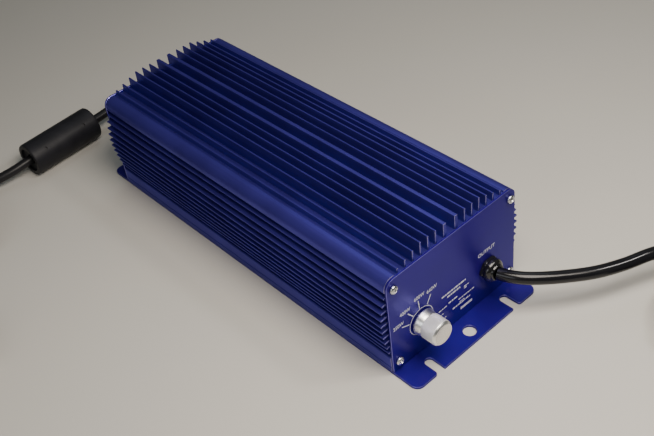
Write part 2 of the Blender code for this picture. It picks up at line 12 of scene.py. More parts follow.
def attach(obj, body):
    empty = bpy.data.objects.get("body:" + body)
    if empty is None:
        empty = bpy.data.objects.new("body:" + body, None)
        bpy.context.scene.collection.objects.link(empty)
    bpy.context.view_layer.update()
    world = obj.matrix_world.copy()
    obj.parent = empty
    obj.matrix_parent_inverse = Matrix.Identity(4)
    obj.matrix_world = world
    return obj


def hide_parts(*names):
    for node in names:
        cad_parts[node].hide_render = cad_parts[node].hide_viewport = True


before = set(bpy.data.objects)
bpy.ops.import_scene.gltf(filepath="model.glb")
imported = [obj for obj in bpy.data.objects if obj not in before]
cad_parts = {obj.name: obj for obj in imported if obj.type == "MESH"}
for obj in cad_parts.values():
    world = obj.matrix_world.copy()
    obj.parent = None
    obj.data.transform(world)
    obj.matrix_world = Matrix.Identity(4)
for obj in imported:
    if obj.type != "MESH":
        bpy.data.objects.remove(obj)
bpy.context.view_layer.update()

MM = 0.001

# Measures that the CAD has too, in millimetres
FRONT, REAR = -156.0, 156.0
HALF_WIDTH = 60.0
PLATE_BOTTOM, PLATE_TOP = 2.3, 83.0
PLATE_THICKNESS = 1.6
BASE_THICKNESS = 2.0
CORNER_RADIUS = 7.0
FLANGE = 21.0
FLANGE_SLOT_X, FLANGE_SLOT_HALF, FLANGE_SLOT_DEPTH = 37.7, 3.2, 14.0
FLANGE_HOLE_INSET, FLANGE_HOLE_RADIUS = 9.2, 4.7
TOP_FLOOR, CASE_TOP = 81.8, 93.0
# The fins on the right half of the top, by place and height, then those of each side
TOP_FINS = ((13.4, 93.0), (20.2, 93.0), (27.0, 93.0), (33.8, 90.6), (40.6, 88.2), (47.4, 86.0))
FIN_TIP_HALF, TOP_FIN_ROOT_HALF, SIDE_FIN_ROOT_HALF = 0.6, 0.75, 0.9
FIN_TIP_RADIUS, FIN_ROOT_RADIUS = 0.42, 0.5
SIDE_WALL = 57.0
SIDE_FINS, SIDE_FIN_LOWEST, SIDE_FIN_PITCH = 10, 20.4, 5.45
SIDE_FIN_REACH, SIDE_ARCH_HEIGHT = 65.2, 48.0
SCREW_X = 54.5
SCREW_HEIGHTS = (10.2, 75.1)
BASE_SCREWS = ((-55.0, -128.0), (55.0, -128.0), (-55.0, 128.0), (55.0, 128.0))
KNOB_X, KNOB_Z = -32.2, 30.0
KNOB_HOLE_RADIUS, GLAND_HOLE_RADIUS = 4.9, 6.9
OUTPUT_X, INPUT_X, GLAND_Z = 32.5, 30.0, 29.5
OUTPUT_DIAMETER, INPUT_DIAMETER = 9.0, 8.0
FERRITE_RADIUS = 14.5
FERRITE_ENDS = ((-41.6, 236.2, 14.9), (-108.2, 230.5, 14.9))
OUTPUT_COIL = (126.0, -295.0)
INPUT_COIL = (-218.5, 198.0)
TO_FRONT = (math.pi / 2, 0, 0)
TO_REAR = (-math.pi / 2, 0, 0)
EDGE_BEVEL = 0.25
PRINT_HEIGHT = 0.03


# Camera --------------------------------------------------------------------------------------------

camera_data = bpy.data.cameras.new("camera")
camera_data.lens = 53.82
camera_data.sensor_width = 36.0
camera = bpy.data.objects.new("camera", camera_data)
camera.location = (-0.3313, -0.4650, 0.4939)
camera.rotation_euler = [math.radians(angle) for angle in (49.017, 6.327, -42.791)]
bpy.context.scene.collection.objects.link(camera)
bpy.context.scene.camera = camera


# Materials -----------------------------------------------------------------------------------------


def finish_of(
    name,
    colour,
    other,
    metallic=0.0,
    roughness=0.4,
    spread=0.08,
    patches=60.0,
    grain=1500.0,
    stretch=(1, 1, 1),
    bump=0.15,
    rings=0.0,
    coat=0.0,
    coat_roughness=0.1,
    specular=0.5,
    edge=(1, 1, 1),
):
    """Material whose colour drifts in patches between two colours, and whose roughness and height
    follow a finer grain. The grain can be stretched along an axis, as drawn and brushed metal is, or
    run in rings about Z, as turned metal does. The scales are per metre."""
    made = bpy.data.materials.new(name)
    made.use_nodes = True
    nodes, links = made.node_tree.nodes, made.node_tree.links
    shader = nodes["Principled BSDF"]
    shader.inputs["Metallic"].default_value = metallic
    shader.inputs["Coat Weight"].default_value = coat
    shader.inputs["Coat Roughness"].default_value = coat_roughness
    shader.inputs["Specular IOR Level"].default_value = specular
    shader.inputs["Specular Tint"].default_value = (*edge, 1)
    place = nodes.new("ShaderNodeTexCoord")
    drift = nodes.new("ShaderNodeTexNoise")
    drift.inputs["Scale"].default_value = patches
    drift.inputs["Detail"].default_value = 4.0
    links.new(place.outputs["Object"], drift.inputs["Vector"])
    blend = nodes.new("ShaderNodeMix")
    blend.data_type = "RGBA"
    blend.inputs["A"].default_value = (*colour, 1)
    blend.inputs["B"].default_value = (*other, 1)
    share = nodes.new("ShaderNodeMapRange")
    share.inputs["From Min"].default_value = 0.35
    share.inputs["From Max"].default_value = 0.65
    links.new(drift.outputs["Fac"], share.inputs["Value"])
    links.new(share.outputs["Result"], blend.inputs["Factor"])
    links.new(blend.outputs["Result"], shader.inputs["Base Color"])
    mapping = nodes.new("ShaderNodeMapping")
    mapping.inputs["Scale"].default_value = stretch
    links.new(place.outputs["Object"], mapping.inputs["Vector"])
    if rings:
        fine = nodes.new("ShaderNodeTexWave")
        fine.wave_type = "RINGS"
        fine.rings_direction = "Z"
        fine.inputs["Scale"].default_value = rings
        fine.inputs["Distortion"].default_value = 0.6
        fine.inputs["Detail"].default_value = 2.0
    else:
        fine = nodes.new("ShaderNodeTexNoise")
        fine.inputs["Scale"].default_value = grain
        fine.inputs["Detail"].default_value = 3.0
    links.new(mapping.outputs["Vector"], fine.inputs["Vector"])
    gloss = nodes.new("ShaderNodeMapRange")
    gloss.inputs["From Min"].default_value = 0.3
    gloss.inputs["From Max"].default_value = 0.7
    gloss.inputs["To Min"].default_value = roughness - spread / 2
    gloss.inputs["To Max"].default_value = roughness + spread / 2
    links.new(fine.outputs["Fac"], gloss.inputs["Value"])
    links.new(gloss.outputs["Result"], shader.inputs["Roughness"])
    height = nodes.new("ShaderNodeBump")
    height.inputs["Strength"].default_value = bump
    height.inputs["Distance"].default_value = 0.05 * MM
    links.new(fine.outputs["Fac"], height.inputs["Height"])
    links.new(height.outputs["Normal"], shader.inputs["Normal"])
    return made


ANODISED = finish_of(
    "anodised_extrusion", (0.054, 0.043, 0.3), (0.065, 0.053, 0.36),
    metallic=0.72, roughness=0.4, spread=0.08, grain=900.0, stretch=(1, 0.02, 1), bump=0.2,
    patches=25.0, coat=0.08, coat_roughness=0.25, edge=(0.5, 0.55, 0.9),
)  # fmt: skip
# Lighter blue for the case's end bevels: a painted highlight along its edges
ANODISED_EDGE_HIGHLIGHT = finish_of(
    "anodised_edge_highlight", (0.25, 0.22, 0.5), (0.36, 0.34, 0.6),
    metallic=0.9, roughness=0.35, patches=300.0,
)  # fmt: skip
PAINTED = finish_of(
    "anodised_sheet", (0.018, 0.003, 0.19), (0.022, 0.004, 0.22),
    metallic=0.35, roughness=0.3, spread=0.05, grain=2500.0, bump=0.08, patches=20.0,
    coat=0.06, coat_roughness=0.2, specular=0.3, edge=(0.5, 0.6, 0.9),
)  # fmt: skip
# Lighter blue for the sheets' bevels: a painted highlight along their edges
SHEET_EDGE_HIGHLIGHT = finish_of(
    "sheet_edge_highlight", (0.16, 0.15, 0.5), (0.24, 0.22, 0.58),
    metallic=0.9, roughness=0.35, patches=300.0,
)  # fmt: skip
STEEL = finish_of(
    "zinc_plated_steel", (0.72, 0.73, 0.74), (0.55, 0.56, 0.58),
    metallic=1.0, roughness=0.24, spread=0.1, patches=400.0, grain=4000.0,
)  # fmt: skip
PRINT = finish_of(
    "white_print", (0.72, 0.74, 0.8), (0.62, 0.64, 0.72),
    roughness=0.5, patches=500.0, grain=6000.0,
)  # fmt: skip
KNOB_SIDE = finish_of(
    "turned_aluminium", (0.98, 0.98, 0.97), (0.93, 0.93, 0.93),
    metallic=1.0, roughness=0.33, spread=0.1, grain=2500.0, stretch=(0.05, 0.05, 1), bump=0.12,
)  # fmt: skip
KNOB_HEAD = finish_of(
    "knurled_aluminium", (1.0, 1.0, 0.99), (0.97, 0.97, 0.96),
    metallic=0.7, roughness=0.42, spread=0.14, grain=3000.0, bump=0.25, specular=1.0,
)  # fmt: skip
KNOB_FACE = finish_of(
    "spun_aluminium", (0.86, 0.84, 0.8), (0.8, 0.78, 0.74),
    metallic=1.0, roughness=0.32, spread=0.12, rings=420.0, bump=0.35,
)  # fmt: skip
BRASS = finish_of(
    "brass", (0.75, 0.55, 0.24), (0.62, 0.45, 0.18),
    metallic=1.0, roughness=0.3, patches=300.0,
)  # fmt: skip
CORD = finish_of(
    "cord_sheath", (0.007, 0.007, 0.009), (0.01, 0.01, 0.012),
    roughness=0.18, spread=0.04, patches=40.0, grain=700.0, bump=0.03, specular=0.4,
)  # fmt: skip
MAINS_CORD = finish_of(
    "mains_sheath", (0.009, 0.009, 0.011), (0.013, 0.013, 0.015),
    roughness=0.38, spread=0.06, patches=40.0, grain=700.0, bump=0.05, specular=0.3,
)  # fmt: skip
NYLON = finish_of(
    "gland_nylon", (0.006, 0.006, 0.007), (0.01, 0.01, 0.011),
    roughness=0.17, spread=0.05, patches=150.0, grain=2500.0, bump=0.06, coat=0.3,
)  # fmt: skip
MOULDED = finish_of(
    "moulded_rubber", (0.02, 0.02, 0.021), (0.03, 0.03, 0.032),
    roughness=0.5, spread=0.12, patches=120.0, grain=2600.0, bump=0.3,
)  # fmt: skip
FERRITE = finish_of(
    "ferrite_shell", (0.009, 0.009, 0.012), (0.014, 0.014, 0.018),
    roughness=0.5, spread=0.14, patches=90.0, grain=2200.0, bump=0.3, specular=0.3,
)  # fmt: skip
STRAP = finish_of(
    "strap_rubber", (0.022, 0.022, 0.024), (0.035, 0.035, 0.037),
    roughness=0.65, spread=0.12, patches=200.0, grain=1800.0, stretch=(1, 1, 0.2), bump=0.4,
)  # fmt: skip
CONTACT = finish_of(
    "contact_metal", (0.8, 0.76, 0.66), (0.68, 0.64, 0.54),
    metallic=1.0, roughness=0.24, patches=300.0, stretch=(1, 0.1, 1),
)  # fmt: skip
BOARD = finish_of(
    "solder_mask", (0.015, 0.13, 0.05), (0.02, 0.2, 0.08),
    roughness=0.35, patches=160.0, coat=0.4, bump=0.3,
)  # fmt: skip
TERMINAL = finish_of(
    "terminal_green", (0.03, 0.3, 0.12), (0.04, 0.36, 0.15), roughness=0.45, patches=200.0
)
WINDING = finish_of(
    "enamelled_copper", (0.5, 0.19, 0.06), (0.36, 0.12, 0.04),
    metallic=0.85, roughness=0.35, grain=900.0, stretch=(0.05, 0.05, 1), bump=1.0, patches=200.0,
)  # fmt: skip
TAPE = finish_of(
    "winding_tape", (0.72, 0.5, 0.05), (0.6, 0.4, 0.03), roughness=0.42, patches=120.0, bump=0.3
)
SLEEVE = finish_of(
    "capacitor_sleeve", (0.02, 0.045, 0.13), (0.03, 0.06, 0.17), roughness=0.3, patches=90.0
)
EPOXY = finish_of(
    "epoxy_black", (0.02, 0.02, 0.021), (0.03, 0.03, 0.031), roughness=0.5, patches=250.0
)
PAD = finish_of(
    "silicone_pad", (0.4, 0.4, 0.42), (0.48, 0.48, 0.5), roughness=0.7, patches=200.0, bump=0.4
)
FILM = finish_of(
    "insulating_film", (0.75, 0.75, 0.7), (0.82, 0.82, 0.78), roughness=0.35, patches=90.0
)
GLASS = finish_of(
    "fuse_glass", (0.75, 0.76, 0.74), (0.85, 0.86, 0.84), roughness=0.08, patches=150.0, coat=0.5
)


# Cords ---------------------------------------------------------------------------------------------

# Each lead runs along its route, round its winding and along its tail, all in millimetres
OUTPUT_ROUTE = [
    (32.5, -165.2, 29.5),
    (34.2, -170.5, 29.5),
    (38.2, -178.0, 29.4),
    (43.6, -184.7, 29.1),
    (50.6, -191.5, 28.7),
    (60.5, -199.6, 28.0),
    (76.8, -211.2, 27.2),
    (95.2, -220.4, 26.8),
    (113.2, -227.6, 27.2),
    (124.0, -232.2, 25.9),
    (141.0, -241.8, 22.4),
]
OUTPUT_TAIL = [
    (93.0, -344.5, 5.9),
    (83.0, -344.1, 6.4),
    (71.0, -341.6, 8.8),
    (59.0, -337.2, 12.4),
    (49.0, -334.6, 14.5),
    (39.0, -334.0, 15.0),
    (29.0, -334.0, 15.0),
    (19.0, -334.0, 15.0),
]
INPUT_ROUTE = [
    (30.0, 165.2, 29.5),
    (30.0, 180.0, 29.5),
    (29.6, 194.0, 29.0),
    (25.4, 210.0, 26.9),
    (15.6, 224.0, 23.4),
    (0.5, 233.6, 19.3),
    (-18.0, 237.6, 16.2),
    (-30.0, 237.2, 15.1),
    (-41.6, 236.2, 14.9),
    (-75.0, 233.35, 14.9),
    (-108.2, 230.5, 14.9),
    (-122.0, 230.6, 13.4),
    (-136.0, 233.3, 11.4),
    (-152.0, 238.0, 8.9),
    (-170.0, 240.9, 6.9),
    (-188.0, 241.8, 5.6),
]
INPUT_TAIL = [
    (-262.2, 168.0, 12.4),
    (-261.2, 160.0, 11.9),
    (-259.2, 151.0, 11.7),
    (-256.4, 142.0, 12.3),
    (-253.8, 133.0, 13.3),
    (-252.2, 125.0, 13.9),
    (-252.0, 117.5, 14.0),
    (-252.0, 110.0, 14.0),
]
# Each winding: its start angle, sense of turning and angle swept, then its places in the bundle as
# (radius, height), and over which swept angles it moves from each place to the next
OUTPUT_WINDING = {
    "start": 50.0,
    "sense": -1,
    "total": 1580.0,
    "places": [(49.5, 19.5), (49.5, 14.9), (49.5, 23.9)]
    + [(40.5, 23.9), (40.5, 14.9), (40.5, 5.9), (49.5, 5.9)],
    "moves": [(0, 70), (190, 260), (270, 350), (710, 800), (1060, 1150), (1290, 1420)],
}
INPUT_WINDING = {
    "start": 90.0,
    "sense": 1,
    "total": 1530.0,
    "places": [(44.0, 5.4), (36.0, 5.4), (36.0, 13.4), (36.0, 21.4), (44.0, 21.4), (44.0, 13.4)],
    "moves": [(100, 200), (330, 430), (590, 690), (840, 940), (1090, 1190)],
}
WINDING_STEP = 5.0
CORD_STEP = 3.0


def wound(centre, start, sense, total, places, moves):
    """Points a few degrees apart on a cord wound round a centre."""
    points = []
    for k in range(round(total / WINDING_STEP) + 1):
        swept = WINDING_STEP * k
        radius, height = places[0]
        for (low, high), before, after in zip(moves, places, places[1:]):
            part = min(1.0, max(0.0, (swept - low) / (high - low)))
            eased = (1 - math.cos(math.pi * part)) / 2
            radius += (after[0] - before[0]) * eased
            height += (after[1] - before[1]) * eased
        angle = math.radians(start + sense * swept)
        across, along = radius * math.cos(angle), radius * math.sin(angle)
        points.append((centre[0] + across, centre[1] + along, height))
    return points


def smooth(route):
    """Points about a step apart on a smooth curve through the route's points."""
    points = [Vector(p) for p in route]
    points = [2 * points[0] - points[1], *points, 2 * points[-1] - points[-2]]
    line = []
    for before, start, end, after in zip(points, points[1:], points[2:], points[3:]):
        count = max(1, round((end - start).length / CORD_STEP))
        # Tangents scaled by the spacing keep the curve even where the points are not
        first, middle, last = (start - before).length, (end - start).length, (after - end).length
        leave = ((end - start) / middle + (start - before) / first) / 2 * middle
        arrive = ((end - start) / middle + (after - end) / last) / 2 * middle
        for k in range(count):
            t = k / count
            line.append(
                start * (2 * t**3 - 3 * t**2 + 1)
                + leave * (t**3 - 2 * t**2 + t)
                + end * (3 * t**2 - 2 * t**3)
                + arrive * (t**3 - t**2)
            )
    line.append(points[-2])
    return line


def cord_curve(name, points, diameter, finish, nodes):
    """Shows a lead as a round curve in place of its CAD nodes."""
    curve = bpy.data.curves.new(name, "CURVE")
    curve.dimensions = "3D"
    curve.bevel_depth = diameter / 2 * MM
    curve.bevel_resolution = 6
    curve.use_fill_caps = True
    spline = curve.splines.new("POLY")
    spline.points.add(len(points) - 1)
    for knot, point in zip(spline.points, points):
        knot.co = (*(point * MM), 1)
    spline.use_smooth = True
    curve.materials.append(finish)
    made = bpy.data.objects.new(name, curve)
    bpy.context.scene.collection.objects.link(made)
    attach(made, "ballast")
    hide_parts(*nodes)
    return made


output_line = smooth([*OUTPUT_ROUTE, *wound(OUTPUT_COIL, **OUTPUT_WINDING), *OUTPUT_TAIL])
input_line = smooth([*INPUT_ROUTE, *wound(INPUT_COIL, **INPUT_WINDING), *INPUT_TAIL])
output_nodes = ("output_cord", "output_coil", "output_cord_tail")
input_nodes = ("input_cord", "input_coil", "input_cord_tail")
lamp_lead = cord_curve("lamp_lead", output_line, OUTPUT_DIAMETER, CORD, output_nodes)
mains_lead = cord_curve("mains_lead", input_line, INPUT_DIAMETER, MAINS_CORD, input_nodes)


# Mesh helpers, all in millimetres ------------------------------------------------------------------


def rounded(corners, steps=5):
    """Outline through corners given as (a, b, radius), each radius worked in as an arc."""
    points = []
    for i, (a, b, radius) in enumerate(corners):
        if radius == 0:
            points.append((a, b))
            continue
        corner = Vector((a, b))
        before = (Vector(corners[i - 1][:2]) - corner).normalized()
        after = (Vector(corners[(i + 1) % len(corners)][:2]) - corner).normalized()
        half = before.angle(after) / 2
        centre = corner + (before + after).normalized() * radius / math.sin(half)
        first = corner + before * radius / math.tan(half) - centre
        last = corner + after * radius / math.tan(half) - centre
        start = math.atan2(first.y, first.x)
        sweep = math.remainder(math.atan2(last.y, last.x) - start, 2 * math.pi)
        for k in range(steps + 1):
            angle = start + sweep * k / steps
            points.append((centre.x + radius * math.cos(angle), centre.y + radius * math.sin(angle)))
    return points


def circle(a, b, radius, steps=32):
    """Outline of a circle about (a, b)."""
    turns = [2 * math.pi * k / steps for k in range(steps)]
    return [(a + radius * math.cos(t), b + radius * math.sin(t)) for t in turns]


def box_outline(a0, a1, b0, b1, radius=0.0, steps=4):
    """Outline of a rectangle with rounded corners."""
    corners = [(a0, b0, radius), (a1, b0, radius), (a1, b1, radius), (a0, b1, radius)]
    return rounded(corners, steps)


def turned_left(loop, left=True):
    """The outline, run so that the side given as its material is on its left."""
    area = sum(a[0] * b[1] - b[0] * a[1] for a, b in zip(loop, loop[1:] + loop[:1]))
    return loop if (area > 0) == left else loop[::-1]


def inset(loop, distance):
    """The outline moved to its left by a distance, with mitred corners."""
    moved = []
    for i, here in enumerate(loop):
        before, after = loop[i - 1], loop[(i + 1) % len(loop)]
        arrive = Vector((before[1] - here[1], here[0] - before[0])).normalized()
        leave = Vector((here[1] - after[1], after[0] - here[0])).normalized()
        middle = (arrive + leave).normalized()
        reach = distance / max(0.4, middle.dot(arrive))
        moved.append((here[0] + middle.x * reach, here[1] + middle.y * reach))
    return moved


def inside(point, loop):
    """Whether a point lies inside the outline."""
    a, b = point
    odd = False
    for (a0, b0), (a1, b1) in zip(loop, loop[1:] + loop[:1]):
        if (b0 > b) != (b1 > b) and a < (a1 - a0) * (b - b0) / (b1 - b0) + a0:
            odd = not odd
    return odd


def stack(levels, axis="Z"):
    """Closed solid along the Z or Y axis through levels of (height, [outline, hole, ...]), whose
    outlines match point for point."""
    mesh = bmesh.new()
    edges = []
    for loop in levels[0][1]:
        first = len(edges)
        edges += [(first + i, first + (i + 1) % len(loop)) for i in range(len(loop))]
    rings = []
    for height, loops in levels:
        flat = [point for loop in loops for point in loop]
        places = [(a, b, height) if axis == "Z" else (a, height, b) for a, b in flat]
        rings.append([mesh.verts.new(place) for place in places])
    for (_, loops), ring in ((levels[0], rings[0]), (levels[-1], rings[-1])):
        flat = [point for loop in loops for point in loop]
        found = delaunay_2d_cdt([Vector(p) for p in flat], edges, [], 0, 1e-7)
        for triangle in found[2]:
            corners = [found[3][i][0] for i in triangle]
            middle = [sum(flat[i][k] for i in corners) / 3 for k in (0, 1)]
            if inside(middle, loops[0]) and not any(inside(middle, hole) for hole in loops[1:]):
                mesh.faces.new([ring[i] for i in corners])
    for lower, upper in zip(rings, rings[1:]):
        for i, j in edges:
            mesh.faces.new((lower[i], lower[j], upper[j], upper[i]))
    return mesh


def sheet(outline, low, high, holes=(), bevel=EDGE_BEVEL, axis="Z"):
    """Flat sheet between two heights with bevelled edges."""
    loops = [turned_left(list(outline)), *[turned_left(list(hole), False) for hole in holes]]
    small = [inset(loop, bevel) for loop in loops]
    levels = [(low, small), (low + bevel, loops), (high - bevel, loops), (high, small)]
    return stack(levels, axis)


def lathe(profile, segments=64, shape=None):
    """Solid turned about Z from (radius, height) points, or (radius, height, sides, reach across the
    flats). shape(radius, height, angle) changes a radius. A profile that starts and ends on the axis
    closes there, and any other makes a ring."""
    mesh = bmesh.new()
    rings = []
    for radius, height, *flats in profile:
        if radius == 0:
            rings.append([mesh.verts.new((0, 0, height))])
            continue
        ring = []
        for k in range(segments):
            angle = 2 * math.pi * k / segments
            reach = radius
            if flats:
                step = 2 * math.pi / flats[0]
                reach = min(radius, flats[1] / math.cos(angle % step - step / 2))
            if shape:
                reach = shape(reach, height, angle)
            ring.append(mesh.verts.new((reach * math.cos(angle), reach * math.sin(angle), height)))
        rings.append(ring)
    pairs = list(zip(rings, rings[1:]))
    if len(rings[0]) > 1:
        pairs.append((rings[-1], rings[0]))
    for lower, upper in pairs:
        for k in range(segments):
            after = (k + 1) % segments
            if len(lower) == 1:
                mesh.faces.new((lower[0], upper[k], upper[after]))
            elif len(upper) == 1:
                mesh.faces.new((lower[k], lower[after], upper[0]))
            else:
                mesh.faces.new((lower[k], lower[after], upper[after], upper[k]))
    return mesh


def at(x, y, z, rotation=(0, 0, 0)):
    """Matrix that stands a piece made in millimetres at a place, in metres."""
    return Matrix.Translation(Vector((x, y, z)) * MM) @ Euler(rotation).to_matrix().to_4x4()


def mesh_of(name, made, finishes, smoothed=30.0, paint=None):
    """Mesh data in metres. paint gives a face's material from its middle and its normal."""
    bmesh.ops.recalc_face_normals(made, faces=made.faces)
    if paint:
        for face in made.faces:
            face.material_index = paint(face.calc_center_median(), face.normal)
    bmesh.ops.scale(made, vec=(MM, MM, MM), verts=made.verts)
    data = bpy.data.meshes.new(name)
    made.to_mesh(data)
    made.free()
    for finish in finishes:
        data.materials.append(finish)
    data.shade_smooth()
    data.set_sharp_from_angle(angle=math.radians(smoothed))
    return data


def piece(name, data, where=None, nodes=(), body="ballast"):
    """Shows mesh data as a piece that rides on a body, in place of CAD nodes."""
    made = bpy.data.objects.new(name, data)
    bpy.context.scene.collection.objects.link(made)
    made.matrix_world = where or Matrix.Identity(4)
    bpy.context.view_layer.update()
    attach(made, body)
    if nodes:
        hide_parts(*nodes)
    return made


def carve(data, tools, smoothed=30.0):
    """Mesh data cut by tools, which are (bmesh in millimetres, matrix)."""
    target = bpy.data.objects.new("target", data)
    bpy.context.scene.collection.objects.link(target)
    used = [target]
    for number, (made, where) in enumerate(tools):
        tool = bpy.data.objects.new(f"tool_{number}", mesh_of("tool", made, [data.materials[0]]))
        bpy.context.scene.collection.objects.link(tool)
        tool.matrix_world = where
        step = target.modifiers.new(tool.name, "BOOLEAN")
        step.operation = "DIFFERENCE"
        step.solver = "EXACT"
        step.object = tool
        used.append(tool)
    bpy.context.view_layer.update()
    graph = bpy.context.evaluated_depsgraph_get()
    result = bpy.data.meshes.new_from_object(target.evaluated_get(graph))
    result.name = data.name
    for thing in used:
        bpy.data.objects.remove(thing, do_unlink=True)
    result.shade_smooth()
    result.set_sharp_from_angle(angle=math.radians(smoothed))
    return result


# Case ----------------------------------------------------------------------------------------------


def side_fin_reach(height):
    """The side fins' tips follow an arch that stands out furthest a little above the middle."""
    if height > SIDE_ARCH_HEIGHT:
        return SIDE_FIN_REACH - 4.3 * ((height - SIDE_ARCH_HEIGHT) / 21.5) ** 2
    return SIDE_FIN_REACH - 4.2 * ((SIDE_ARCH_HEIGHT - height) / 27.6) ** 1.8


def half_section():
    """The right half of the case's section as (x, z, radius), from the top of its middle down the
    outside and back up the inside."""
    root, tip = TOP_FIN_ROOT_HALF, FIN_TIP_HALF
    at_root, at_tip = FIN_ROOT_RADIUS, FIN_TIP_RADIUS
    points = [(3.8, TOP_FLOOR, at_root), (3.8, CASE_TOP, 0.4)]
    points += [(6.6, CASE_TOP, 0.4), (6.6, TOP_FLOOR, at_root)]
    for x, top in TOP_FINS:
        points += [(x - root, TOP_FLOOR, at_root), (x - tip, top, at_tip)]
        points += [(x + tip, top, at_tip), (x + root, TOP_FLOOR, at_root)]
    points += [(50.4, TOP_FLOOR, 0.2), (50.9, PLATE_TOP, 0.3)]
    corner_x, corner_z = HALF_WIDTH - CORNER_RADIUS, PLATE_TOP - CORNER_RADIUS
    for k in range(1, 17):
        angle = math.pi / 2 * (1 - k / 16)
        across, up = CORNER_RADIUS * math.cos(angle), CORNER_RADIUS * math.sin(angle)
        points.append((corner_x + across, corner_z + up, 0))
    points += [(HALF_WIDTH, 74.0, 0.4), (59.5, 73.4, 0), (SIDE_WALL, 73.4, at_root)]
    root = SIDE_FIN_ROOT_HALF
    for i in reversed(range(SIDE_FINS)):
        height = SIDE_FIN_LOWEST + SIDE_FIN_PITCH * i
        reach = side_fin_reach(height)
        points += [(SIDE_WALL, height + root, at_root), (reach, height + tip, at_tip)]
        points += [(reach, height - tip, at_tip), (SIDE_WALL, height - root, at_root)]
    points += [(SIDE_WALL, 15.2, at_root), (59.4, 15.2, 0.3)]
    points += [(HALF_WIDTH, 14.4, 0.3), (HALF_WIDTH, 6.4, 0)]
    points += [(59.5, 5.9, 0), (HALF_WIDTH, 5.4, 0), (HALF_WIDTH, PLATE_BOTTOM, 0.3)]
    inner = [(50.0, PLATE_BOTTOM), (50.0, 7.0), (49.2, 8.6), (49.2, 12.4), (50.6, 14.8), (51.4, 16.2)]
    inner += [(51.4, 19.7), (54.2, 19.7), (54.2, 21.9), (51.4, 21.9), (51.4, 24.2)]
    inner += [(54.2, 24.8), (54.2, 69.6), (51.0, 70.8), (49.4, 73.2), (49.2, 76.8), (47.6, 78.6)]
    return points + [(x, z, 0) for x, z in inner]


def make_case():
    """The extruded case with its corner screw ports, and a painted highlight on its end edges."""
    bevel = 0.22
    right = half_section()
    left = [(-x, z, radius) for x, z, radius in reversed(right)]
    ports = [circle(x, z, 2.0, 20) for x in (-SCREW_X, SCREW_X) for z in SCREW_HEIGHTS]
    reach = REAR - PLATE_THICKNESS - 0.3
    solid = sheet(rounded(right + left, 4), -reach, reach, ports, bevel, "Y")

    # The end bevels take the lighter second material: a painted highlight on the edges
    def paint(middle, normal):
        return int(abs(middle.y) > reach - bevel and abs(normal.y) < 0.99)

    data = mesh_of("case_extrusion", solid, [ANODISED, ANODISED_EDGE_HIGHLIGHT], 35.0, paint)
    hole = [(0, 1.0), (1.6, 1.0), (1.6, 8.0), (0, 8.0)]
    tools = [(lathe(hole, 24), at(x, y, 0)) for x, y in BASE_SCREWS]
    piece("case_extrusion", carve(data, tools, 35.0), nodes=["housing"])


def flange_outline(end):
    """Corners of one flange's edge, from left to right at the front (-1) and back at the rear (1)."""
    edge = end * (REAR + FLANGE)
    bottom = edge - end * FLANGE_SLOT_DEPTH
    half, turn = FLANGE_SLOT_HALF, FLANGE_SLOT_HALF - 0.05
    corners = [(-HALF_WIDTH, edge, 6.0)]
    for x in (-FLANGE_SLOT_X, FLANGE_SLOT_X):
        first, last = (2.2, 0.5) if x < 0 else (0.5, 2.2)
        corners += [(x - half, edge, first), (x - half, bottom, turn)]
        corners += [(x + half, bottom, turn), (x + half, edge, last)]
    corners.append((HALF_WIDTH, edge, 6.0))
    return corners if end < 0 else corners[::-1]


def bevel_highlight(axis, low, high):
    """Paints a sheet's bevels with its second material, a lighter painted highlight."""

    def paint(middle, normal):
        near = min(middle[axis] - low, high - middle[axis])
        return int(near < EDGE_BEVEL - 0.01 and abs(normal[axis]) < 0.98)

    return paint


def make_plates():
    """The base plate with its flanges and sunk screw seats, and the two end plates."""
    reach = REAR + FLANGE - FLANGE_HOLE_INSET
    holes = [circle(0, end * reach, FLANGE_HOLE_RADIUS, 40) for end in (-1, 1)]
    outline = rounded(flange_outline(-1) + flange_outline(1), 10)
    solid = sheet(outline, 0, BASE_THICKNESS, holes)
    # The sheets' bevels take the lighter second material, a painted highlight
    finishes = [PAINTED, SHEET_EDGE_HIGHLIGHT]
    data = mesh_of("base_sheet", solid, finishes, 35.0, bevel_highlight(2, 0, BASE_THICKNESS))
    sink = [(0, -1.0), (3.2, -1.0), (3.2, 0.3), (1.8, 1.8), (1.8, 3.0), (0, 3.0)]
    data = carve(data, [(lathe(sink, 32), at(x, y, 0)) for x, y in BASE_SCREWS], 35.0)
    piece("base_sheet", data, nodes=["base_plate"])
    corners = [(-HALF_WIDTH, PLATE_BOTTOM, 1.2), (HALF_WIDTH, PLATE_BOTTOM, 1.2)]
    corners += [(HALF_WIDTH, PLATE_TOP, CORNER_RADIUS), (-HALF_WIDTH, PLATE_TOP, CORNER_RADIUS)]
    outline = rounded(corners, 12)
    screw_holes = [circle(x, z, 2.2, 24) for x in (-SCREW_X, SCREW_X) for z in SCREW_HEIGHTS]
    knob_hole = circle(KNOB_X, KNOB_Z, KNOB_HOLE_RADIUS)
    output_hole, input_hole = (circle(x, GLAND_Z, GLAND_HOLE_RADIUS) for x in (OUTPUT_X, INPUT_X))
    for label, low, holes in (
        ("front", FRONT, [knob_hole, output_hole]),
        ("rear", REAR - PLATE_THICKNESS, [input_hole]),
    ):
        high = low + PLATE_THICKNESS
        solid = sheet(outline, low, high, screw_holes + holes, axis="Y")
        data = mesh_of(f"{label}_sheet", solid, finishes, 35.0, bevel_highlight(1, low, high))
        piece(f"{label}_sheet", data, nodes=[f"{label}_plate"])


def cross(arm, reach):
    """Outline of a screw's cross recess."""
    outline = []
    for turn in range(4):
        for a, b in ((arm, arm), (arm, reach), (-arm, reach)):
            point = Vector((a, b))
            point.rotate(Matrix.Rotation(math.pi / 2 * turn, 2))
            outline.append((point.x, point.y))
    return outline


